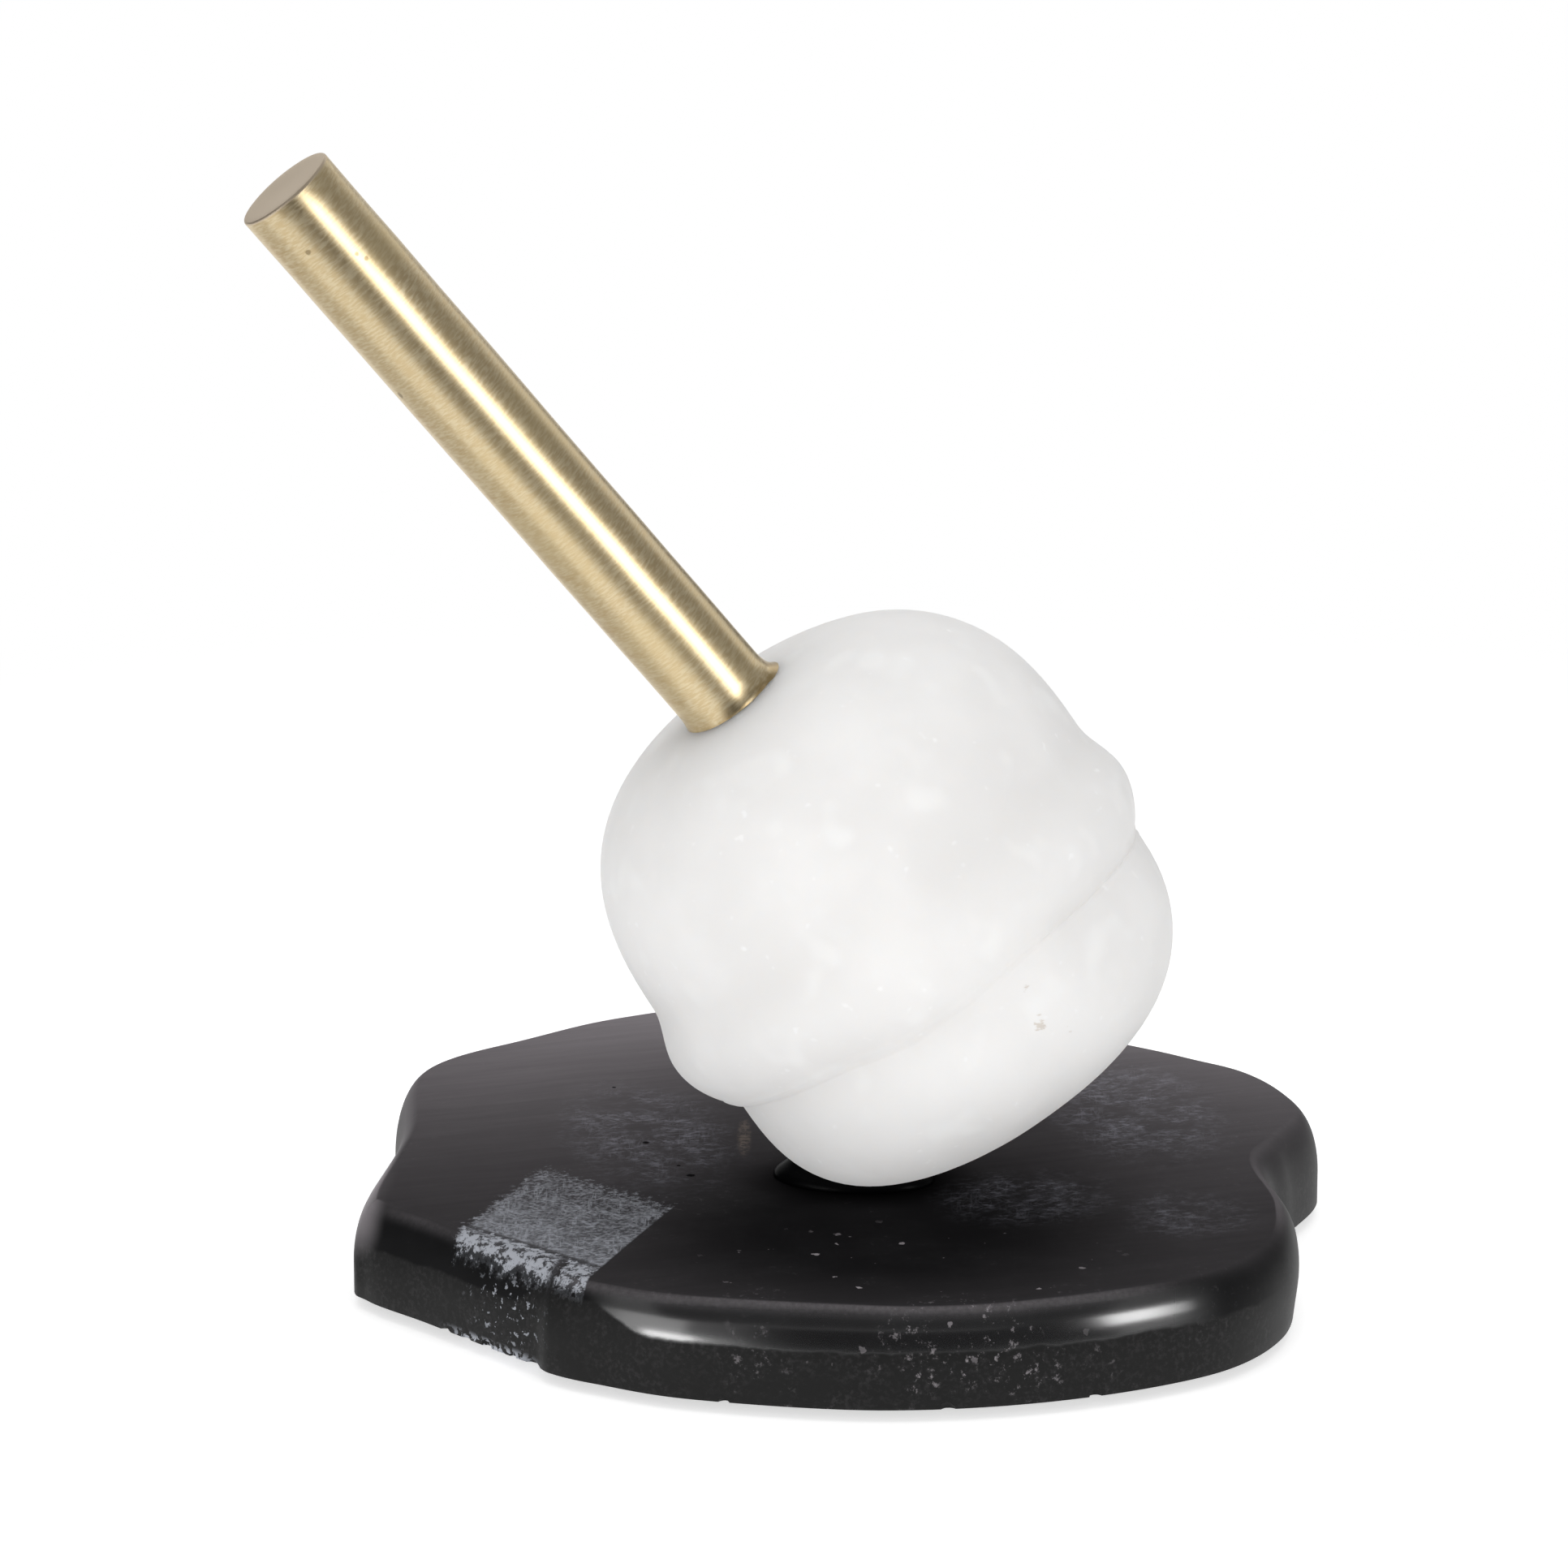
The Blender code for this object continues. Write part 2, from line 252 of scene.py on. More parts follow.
def makeHead(p):
    head = turnedHead("whiteMarbleHead", p)
    rim = p["lowerHeight"]
    # the lower half was carved a little off, so the lip overhangs on one side only
    pick(head, lambda co: co.z > rim + 0.0005)
    bpy.ops.mesh.hide()
    bpy.ops.object.mode_set(mode="OBJECT")
    pick(head, lambda co: rim - 0.0006 < co.z < rim + 0.0004)
    bpy.ops.transform.translate(value=(-p["lowerSlide"], 0, 0), use_proportional_edit=True,
                                proportional_edit_falloff="SMOOTH", proportional_size=p["slideReach"])
    bpy.ops.mesh.reveal(select=False)
    # the crease wanders: it dips once on the front
    dip = Vector((cos(p["creaseDipTurn"]), sin(p["creaseDipTurn"]), 0)) * p["lowerRadius"]
    bpy.ops.object.mode_set(mode="OBJECT")
    pick(head, lambda co: (co - dip - Vector((0, 0, rim))).length < p["dipSize"])
    bpy.ops.transform.translate(value=(0, 0, -p["creaseDip"]), use_proportional_edit=True,
                                proportional_edit_falloff="SMOOTH", proportional_size=p["dipReach"])
    bpy.ops.object.mode_set(mode="OBJECT")
    uneven(head, p["unevenSize"], p["uneven"])
    settle(head, headPlace)
    return smoothOver(head, 80)


head = makeHead(headPart)


# the stick: a drawn rod with a softened tip and a foot that spreads a little on the stone

stickPart = {
    "entry": (-0.0002, 0.0084), "tilt": radians(11.9), "tiltHeading": radians(71.7), "sides": 192,
    "length": 0.0813, "tipRadius": 0.0061, "footRadius": 0.0059, "tipRound": 0.0003,
    "flare": 0.0003, "flareHeight": 0.0022, "sunk": 0.0026, "lip": 0.0016,
    "lipTurn": radians(119), "lipReach": 0.0016, "lipLevel": -0.0013, "hatchTurn": radians(-50),
    "steps": 30, "seam": 0.00012, "uneven": 0.00012, "unevenSize": 0.011,
    "dish": ((0.82, 0.0), (0.5, -0.00006), (0.2, -0.00004)),
    "pits": ((radians(48.9), 0.0713, 0.0003), (radians(53.5), 0.0701, 0.0003),
             (radians(8.9), 0.0750, 0.0004),
             (radians(-32.1), 0.0544, 0.0005)),
}
headTop = headPart["lowerHeight"] + headPart["bandRise"] + headPart["waistRise"]
entryShare = (Vector(stickPart["entry"]).length / headPart["waistRadius"]) ** headPart["upperPower"]
entryRise = headPart["upperHeight"] * (1 - entryShare) ** (1 / headPart["upperPower"])
stickPlace = (headPlace @ Matrix.Translation((*stickPart["entry"], headTop + entryRise))
              @ Matrix.Rotation(stickPart["tiltHeading"], 4, "Z") @ Matrix.Rotation(stickPart["tilt"], 4,
                                                                                    "Y"))


def makeStick(p):
    rings = [(-p["sunk"] * (8 - k) / 8, p["footRadius"] + p["flare"]) for k in range(8)]
    for k in range(9):
        rings.append((p["flareHeight"] * k / 8, p["footRadius"] + p["flare"] * (1 - k / 8) ** 2))
    shoulder = p["length"] - p["tipRound"]
    for k in range(1, p["steps"] + 1):
        t = k / p["steps"]
        rings.append((p["flareHeight"] + (shoulder - p["flareHeight"]) * t,
                      p["footRadius"] + (p["tipRadius"] - p["footRadius"]) * t))
    for k in range(1, 7):
        a = pi / 2 * k / 6
        rings.append((shoulder + p["tipRound"] * sin(a), p["tipRadius"] - p["tipRound"] * (1 - cos(a))))
    bpy.ops.mesh.primitive_circle_add(vertices=p["sides"], radius=rings[0][1], fill_type="NGON",
                                      location=(0, 0, rings[0][0]))
    stick = added("brassStick")
    bpy.ops.object.transform_apply(location=True, rotation=True, scale=True)
    editAll()
    for before, after in zip(rings, rings[1:]):
        extrude(z=after[0] - before[0])
        grow = after[1] / before[1]
        bpy.ops.transform.resize(value=(grow, grow, 1), center_override=(0, 0, after[0]))
    # the sawn end is very slightly dished
    for share, sink in p["dish"]:
        extrude(z=sink)
        bpy.ops.transform.resize(value=(share, share, 1), center_override=(0, 0, p["length"]))
    closeUp(stick)
    # one side of the foot is drawn out to a lip on the stone
    side = Vector((cos(p["lipTurn"]), sin(p["lipTurn"]), 0))
    pick(stick, lambda co: co.z < p["lipLevel"] and co.dot(side) > p["footRadius"] * 0.93)
    bpy.ops.transform.translate(value=side * p["lip"], use_proportional_edit=True,
                                use_proportional_connected=True,
                                proportional_edit_falloff="SHARP", proportional_size=p["lipReach"])
    bpy.ops.object.mode_set(mode="OBJECT")
    uneven(stick, p["unevenSize"], p["uneven"])
    settle(stick, stickPlace)
    return stick


def headEnvelope(grow):
    # a copy of the finished head, grown evenly, for what has to sit against it
    workOn(head)
    bpy.ops.object.duplicate()
    envelope = added("headEnvelope")
    return modify(envelope, "DISPLACE", strength=grow, mid_level=0.0)


stick = makeStick(stickPart)
cutWith(stick, headEnvelope(stickPart["seam"]))
closeUp(stick)
smoothOver(stick, 40)


# the slab: the puddle outline, a plumb wall, a rolled top edge and a honed top

slabPart = {
    "knots": ((-.0586, -.0155), (-.0568, -.0215), (-.0495, -.0290), (-.0400, -.0393), (-.0363, -.0431),
              (-.0343, -.0460), (-.0290, -.0494), (-.0175, -.0545),
              (.0040, -.0580), (.0245, -.0550), (.0425, -.0465), (.0515, -.0345), (.0536, -.0200),
              (.0516, -.0055), (.0550, .0030), (.0590, .0155), (.0535, .0295), (.0420, .0395),
              (.0225, .0515), (-.0005, .0570), (-.0225, .0565), (-.0425, .0440), (-.0545, .0305),
              (-.0552, .0075)),
    "bottom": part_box("base_slab")[0].z, "top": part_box("base_slab")[1].z,
    "knotSteps": 14, "arris": 0.00015, "rollWidth": 0.0038, "rollHeight": 0.0082, "rollCut": 0.00025,
    "steeper": 0.0011, "steepReach": 0.013, "steepFrom": 0.044, "steepSpan": (-0.044, -0.008),
    "steepDepth": 0.003, "groundDepth": 0.0046, "mitreSize": 0.0007,
    "rollSteps": 14, "mitre": (-.0549, -.0178),
    "rings": (0.97, 0.93, 0.9, 0.9, 0.88, 0.88, 0.86, 0.84, 0.8, 0.75, 0.65, 0.5),
    "uneven": 0.0005, "unevenSize": 0.016,
    "patchCentre": (-.0333, -.0275, 0),
    # rightRim marks a painted highlight on the right edge
    "waxStart": -.0305, "waxEnd": .045, "rightRim": ((.0530, -.014, .0125), (.006, .020, .006)),
    "leftRim": ((-.0580, -.004, .0120), (.0048, .027, .008)),
    # painted shade: zones where the haze is taken down, in front of the head and round it, as the head's
    # shadow
    "paintedHeadShade": (((.004, -.029, .0133), (.041, .038, .02), 0.3, 0.12),
               ((.008, .015, .0133), (.052, .046, .02), 0.3, 0.7)),
    "scuffs": (((-.0235, .004, .0133), (.013, .026, .02), 0.2),
               ((.0365, .014, .0133), (.013, .026, .02), 0.1),
               ((.022, -.018, .0133), (.014, .012, .02), 0.5),
               ((.041, -.024, .0133), (.010, .010, .02), 0.0)),
    "specks": ((.008, -.044, .0133), (.030, .020, .02)), "crowd": ((.010, -.056, .008), (.034, .016, .012)),
    "crumbs": ((-.040, -.040, .0065), (.009, .009, .006), 0.0, 0.3),
    "broken": ((-.0415, -.0375, .0013), (.010, .010, .02)),
    "glue": ((-.0119, .004, .0133), (.0011, .0085, .01)),
    # the next entry marks painted shade round the bead under the head
    "paintedContactShade": ((.0025, -.0115, .0133), (.0165, .0125, .01)),
    "pits": (((-.0239, .0017, .0133), .0005), ((-.0183, -.0097, .0133), .0006),
             ((-.0198, -.0064, .0133), .0003), ((-.0282, .0231, .0133), .0003)),
    "chips": ((-.0473, -.0315, .0012), (-.0448, -.0343, .0009), (-.0423, -.0372, .0013),
              (-.0392, -.0405, .0009),
              (-.0364, -.0434, .0014), (-.0142, -.0557, .0010), (.0121, -.0578, .0012),
              (.0291, -.0535, .0011)),
}


def outlineRing(name, knots, steps, height):
    # a closed curve through the knots, made a mesh
    bpy.ops.curve.primitive_bezier_circle_add(radius=0.05)
    curve = added(name)
    spline = curve.data.splines[0]
    spline.bezier_points.add(len(knots) - len(spline.bezier_points))
    for k, point in enumerate(spline.bezier_points):
        here = Vector((*knots[k], height))
        reach = (Vector((*knots[(k + 1) % len(knots)], height)) - Vector((*knots[k - 1], height))) / 6
        point.handle_left_type = point.handle_right_type = "FREE"
        point.co = here
        point.handle_left = here - reach
        point.handle_right = here + reach
    curve.data.resolution_u = steps
    bpy.ops.object.convert(target="MESH")
    return closeUp(added(name))


def makeSlab(p):
    slab = outlineRing("blackMarbleSlab", p["knots"], p["knotSteps"], p["bottom"])
    stretch = p["rollHeight"] / p["rollWidth"]
    tall = (p["top"] + p["rollCut"] - p["bottom"]) / stretch
    editAll()
    bpy.ops.mesh.edge_face_add()
    extrude(z=(tall - p["rollWidth"]) * 0.5)
    extrude(z=(tall + p["rollWidth"]) * 0.5)
    closeUp(slab)
    # the top edge is ground over to a roll that is taller than it is wide: bevelled low, then drawn up
    pick(slab, lambda co: co.z > p["bottom"] + tall - 1e-5)
    bpy.ops.mesh.bevel(offset=p["rollWidth"], segments=p["rollSteps"], profile=0.5, affect="EDGES",
                       clamp_overlap=False)
    bpy.ops.mesh.select_all(action="SELECT")
    bpy.ops.transform.resize(value=(1, 1, stretch), center_override=(0, 0, p["bottom"]))
    bpy.ops.object.mode_set(mode="OBJECT")
    # the top is honed flat afterwards, which leaves an arris along the roll
    pick(slab, lambda co: co.z > p["top"])
    bpy.ops.transform.resize(value=(1, 1, 0), center_override=(0, 0, p["top"]))
    bpy.ops.object.mode_set(mode="OBJECT")
    # at the sharp left corner the roll would fold over itself, so its inner points become one
    pick(slab, lambda co: (co - Vector((*p["mitre"], p["top"]))).length < p["mitreSize"])
    bpy.ops.mesh.merge(type="CENTER")
    bpy.ops.object.mode_set(mode="OBJECT")
    # on the right the roll is steeper
    near, far = p["steepSpan"]
    level = p["top"] - p["steepDepth"]
    pick(slab, lambda co: co.x > p["steepFrom"] and near < co.y < far and co.z > level)
    bpy.ops.transform.translate(value=(p["steeper"], 0, 0), use_proportional_edit=True,
                                proportional_edit_falloff="SMOOTH", proportional_size=p["steepReach"])
    bpy.ops.object.mode_set(mode="OBJECT")
    # rings across the top, so that it can be ground slightly wavy
    bpy.ops.object.mode_set(mode="EDIT")
    bpy.ops.mesh.select_mode(type="FACE")
    bpy.ops.mesh.select_all(action="DESELECT")
    bpy.ops.object.mode_set(mode="OBJECT")
    max((f for f in slab.data.polygons if f.normal.z > 0.9), key=lambda f: f.area).select = True
    bpy.ops.object.mode_set(mode="EDIT")
    for share in p["rings"]:
        extrude()
        bpy.ops.transform.resize(value=(share, share, 1), center_override=(-0.001, -0.001, p["top"]))
    bpy.ops.mesh.merge(type="CENTER")
    closeUp(slab)
    pick(slab, lambda co: co.z < p["bottom"] + 1e-5)
    bpy.ops.mesh.bevel(offset=p["arris"], segments=2, profile=0.5, affect="EDGES", clamp_overlap=False)
    bpy.ops.object.mode_set(mode="OBJECT")
    return closeUp(slab)


slab = makeSlab(slabPart)
topGroup = slab.vertex_groups.new(name="top")
for vert in slab.data.vertices:
    share = (vert.co.z - slabPart["top"] + slabPart["groundDepth"]) / slabPart["groundDepth"]
    if share > 0:
        topGroup.add([vert.index], min(share, 1.0) ** 2, "REPLACE")
uneven(slab, slabPart["unevenSize"], slabPart["uneven"], "top", "Z")
slab.vertex_groups.clear()


def chipCutter(spots):
    # small broken flakes along the bottom edge
    for k, (x, y, radius) in enumerate(spots):
        bpy.ops.mesh.primitive_ico_sphere_add(subdivisions=2, radius=radius,
                                              location=(x, y, slabPart["bottom"] - 0.3 * radius),
                                              rotation=(k * 1.3, k * 0.7, k * 2.1), scale=(1.3, 0.8, 0.75))
        added("chip" + str(k))
    for k in range(len(spots)):
        bpy.data.objects["chip" + str(k)].select_set(True)
    bpy.ops.object.join()
    cutter = added("chips")
    bpy.ops.object.transform_apply(location=True, rotation=True, scale=True)
    return cutter


cutWith(slab, chipCutter(slabPart["chips"]))
closeUp(slab)
smoothOver(slab, 35)


# the bonding bead under the head

beadPart = {
    "halfLength": 0.0098, "halfWidth": 0.0060, "shift": -0.0008, "lift": 0.00005, "sides": 96,
    "profile": ((1.0, 0.0), (1.0, 0.0003), (0.975, 0.0007), (0.93, 0.0011), (0.86, 0.0016), (0.77, 0.0024),
                (0.67, 0.0036), (0.55, 0.0054), (0.42, 0.0078), (0.3, 0.0095)),
    "seam": 0.00008,
}
seat = (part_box("adhesive_bead")[0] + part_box("adhesive_bead")[1]) / 2
seat = Vector((seat.x, seat.y, slabPart["top"]))


def makeBead(p):
    bpy.ops.mesh.primitive_circle_add(vertices=p["sides"], radius=1, fill_type="NGON")
    bead = added("epoxyBead")
    editAll()
    bpy.ops.transform.resize(value=(p["halfLength"], p["halfWidth"], 1))
    for before, after in zip(p["profile"], p["profile"][1:]):
        extrude(z=after[1] - before[1])
        share = after[0] / before[0]
        bpy.ops.transform.resize(value=(share, share, 1), center_override=(0, 0, after[1]))
    closeUp(bead)
    middle = Matrix.Translation(seat + Vector((p["shift"], 0, p["lift"])))
    settle(bead, middle @ Matrix.Rotation(headPart["heading"], 4, "Z"))
    return bead


bead = makeBead(beadPart)
cutWith(bead, headEnvelope(beadPart["seam"]))
closeUp(bead)
smoothOver(bead, 40)


# the felt under the slab

feltPart = {"inset": 0.006, "thick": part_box("felt_underlay")[1].z}


def makeFelt(p):
    felt = outlineRing("feltUnderlay", slabPart["knots"], 6, 0.0)
    editAll()
    bpy.ops.mesh.edge_face_add()
    bpy.ops.mesh.select_mode(type="FACE")
    bpy.ops.mesh.inset(thickness=p["inset"], depth=0)
    bpy.ops.mesh.select_all(action="INVERT")
    bpy.ops.mesh.delete(type="FACE")
    editAll()
    bpy.ops.mesh.delete_loose()
    editAll()
    extrude(z=p["thick"])
    return closeUp(felt)


felt = makeFelt(feltPart)


# bores for the dowels that stay inside

def boreCutter(place, low, high, radius):
    bpy.ops.mesh.primitive_cylinder_add(vertices=48, radius=radius, depth=high - low,
                                        location=(0, 0, (low + high) / 2))
    cutter = added("bore")
    bpy.ops.object.transform_apply(location=True, rotation=True, scale=True)
    return settle(cutter, place)


# the bored piece, the axis, and the two ends of the bore along it
boreRadius = 0.0033
seatPlace = Matrix.Translation(seat)
for piece, axis, low, high in (
    (head, stickPlace, -0.0184, 0.004),
    (stick, stickPlace, -0.006, 0.0205),
    (head, seatPlace, -0.001, 0.0175),
    (slab, seatPlace, -0.0090, 0.003),
    (bead, seatPlace, -0.003, 0.01),
):
    cutWith(piece, boreCutter(axis, low, high, boreRadius))
print("bores cut")


# materials

soft = {"interpolation_type": "SMOOTHSTEP"}


def whiteMarble(p):
    # honed white marble: milky depth, cloudy paler patches, small flecks and a fine sugar grain
    made, add, place = newMaterial("honed white marble")
    cloud = add("TexNoise", {"Vector": place, "Scale": 1 / 0.018, "Detail": 3})
    colour = add("Mix", {0: add("MapRange", (cloud, 0.36, 0.66), **soft), 6: linear("#ECEBEA"),
                         7: linear("#F2F1F0")},
                 2, data_type="RGBA")
    # paler spots 6 mm across, and flecks of 1.5 mm
    for size, low, high, share, code in ((0.006, 0.56, 0.80, 0.55, "#F8F8F7"),
                                         (0.0016, 0.70, 0.82, 0.6, "#FAFAFA")):
        spot = add("TexNoise", {"Vector": place, "Scale": 1 / size, "Detail": 1})
        spot = add("MapRange", (spot, low, high, 0, share), **soft)
        colour = add("Mix", {0: spot, 6: colour, 7: linear(code)}, 2, data_type="RGBA")
    # brownish streaks low on the front
    streaky = add("Mapping", {"Vector": place, "Scale": (0.0018, 0.0009, 0.0006)}, vector_type="TEXTURE")
    streaky = add("TexNoise", {"Vector": streaky, "Scale": 1, "Detail": 4, "Roughness": 0.7})
    streaky = add("Math", (streaky, 0.0040), operation="MULTIPLY")
    for at, size in p["blemishes"]:
        away = add("VectorMath", (place, at), "Value", operation="DISTANCE")
        away = add("Math", (away, streaky), operation="ADD")
        mark = add("MapRange", (away, size + 0.0018, size + 0.0012, 0, 0.35), **soft)
        colour = add("Mix", {0: mark, 6: colour, 7: linear("#A8906F")}, 2, data_type="RGBA")
    sugar = add("TexNoise", {"Vector": place, "Scale": 1 / 0.0006, "Detail": 3})
    add("OutputMaterial", [add("BsdfPrincipled", {
        "Base Color": colour, "Roughness": 0.55, "Specular IOR Level": 0.3, "Subsurface Weight": 1.0,
        "Subsurface Radius": (1.0, 0.95, 0.9), "Subsurface Scale": 0.014,
        "Normal": add("Bump", {"Height": sugar, "Strength": 0.06, "Distance": 0.0002})})])
    return made


def brushedBrass(p):
    # brushed brass: pale gold, short scratches across the rod, a dull sawn end, brown tarnish at the foot
    made, add, place = newMaterial("brushed brass")
    local = add("Mapping", {"Vector": place, "Location": stickPlace.to_translation(),
                            "Rotation": stickPlace.to_euler()}, vector_type="TEXTURE")
    along = add("SeparateXYZ", [local], "Z")
    # the brush marks are 1.2 mm long and 0.25 mm apart, coarser than real ones so that they show
    across = add("Mapping", {"Vector": local, "Scale": (0.0012, 0.0012, 0.00025)}, vector_type="TEXTURE")
    brush = add("TexNoise", {"Vector": across, "Scale": 1, "Detail": 2, "Roughness": 0.5})
    drift = add("TexNoise", {"Vector": local, "Scale": 1 / 0.012})
    colour = add("Mix", {0: add("MapRange", (brush, 0.35, 0.7), **soft), 6: linear("#CBB68E"),
                         7: linear("#DBCBA8")},
                 2, data_type="RGBA")
    colour = add("Mix", {0: add("MapRange", (drift, 0.4, 0.7, 0, 0.5), **soft), 6: colour,
                         7: linear("#D3BF93")},
                 2, data_type="RGBA")
    # coarser marks, 1 mm apart, left by the brush along one side
    hatch = add("Mapping", {"Vector": local, "Rotation": (0, 0.35, 0), "Scale": (0.005, 0.005, 0.0011)},
                vector_type="TEXTURE")
    hatch = add("TexNoise", {"Vector": hatch, "Scale": 1, "Detail": 3, "Roughness": 0.6})
    side = add("VectorMath", (local, (cos(p["hatchTurn"]), sin(p["hatchTurn"]), 0)), "Value",
               operation="DOT_PRODUCT")
    side = add("MapRange", (side, 0.0030, 0.0055), **soft)
    hatch = add("Math", (add("MapRange", (hatch, 0.52, 0.64, 0, 0.35), **soft), side), operation="MULTIPLY")
    colour = add("Mix", {0: hatch, 6: colour, 7: linear("#B89B6A")}, 2, data_type="RGBA")
    # small dark pits and one ding
    pitting = add("TexNoise", {"Vector": local, "Scale": 1 / 0.0008, "Detail": 3})
    for turn, high, size in p["pits"]:
        at = Vector((cos(turn), sin(turn), 0)) * p["tipRadius"] + Vector((0, 0, high))
        away = add("Math", (add("VectorMath", (local, at), "Value", operation="DISTANCE"),
                            add("Math", (pitting, size * 1.2), operation="MULTIPLY")), operation="ADD")
        pit = add("MapRange", (away, size * 1.7, size * 1.2, 0, 0.6), **soft)
        colour = add("Mix", {0: pit, 6: colour, 7: linear("#6E5A38")}, 2, data_type="RGBA")
    sawn = add("MapRange", (along, p["length"] - 0.0004, p["length"] - 0.00015), **soft)
    colour = add("Mix", {0: sawn, 6: colour, 7: linear("#D9C9B2")}, 2, data_type="RGBA")
    edge = add("TexNoise", {"Vector": local, "Scale": 1 / 0.0014, "Detail": 3})
    foot = add("Math", (along, add("Math", (edge, 0.003), operation="MULTIPLY")), operation="SUBTRACT")
    tarnish = add("MapRange", (foot, -0.0006, -0.0020, 0, 0.65), **soft)
    colour = add("Mix", {0: tarnish, 6: colour, 7: linear("#9C8150")}, 2, data_type="RGBA")
    rough = add("MapRange", (brush, 0.3, 0.7, 0.29, 0.36), **soft)
    rough = add("Mix", {0: sawn, 2: rough, 3: 0.55}, data_type="FLOAT")
    add("OutputMaterial", [add("BsdfPrincipled", {
        "Base Color": colour, "Metallic": 1.0, "Roughness": rough,
        "Normal": add("Bump", {"Height": brush, "Strength": 0.03, "Distance": 0.0001})})])
    return made


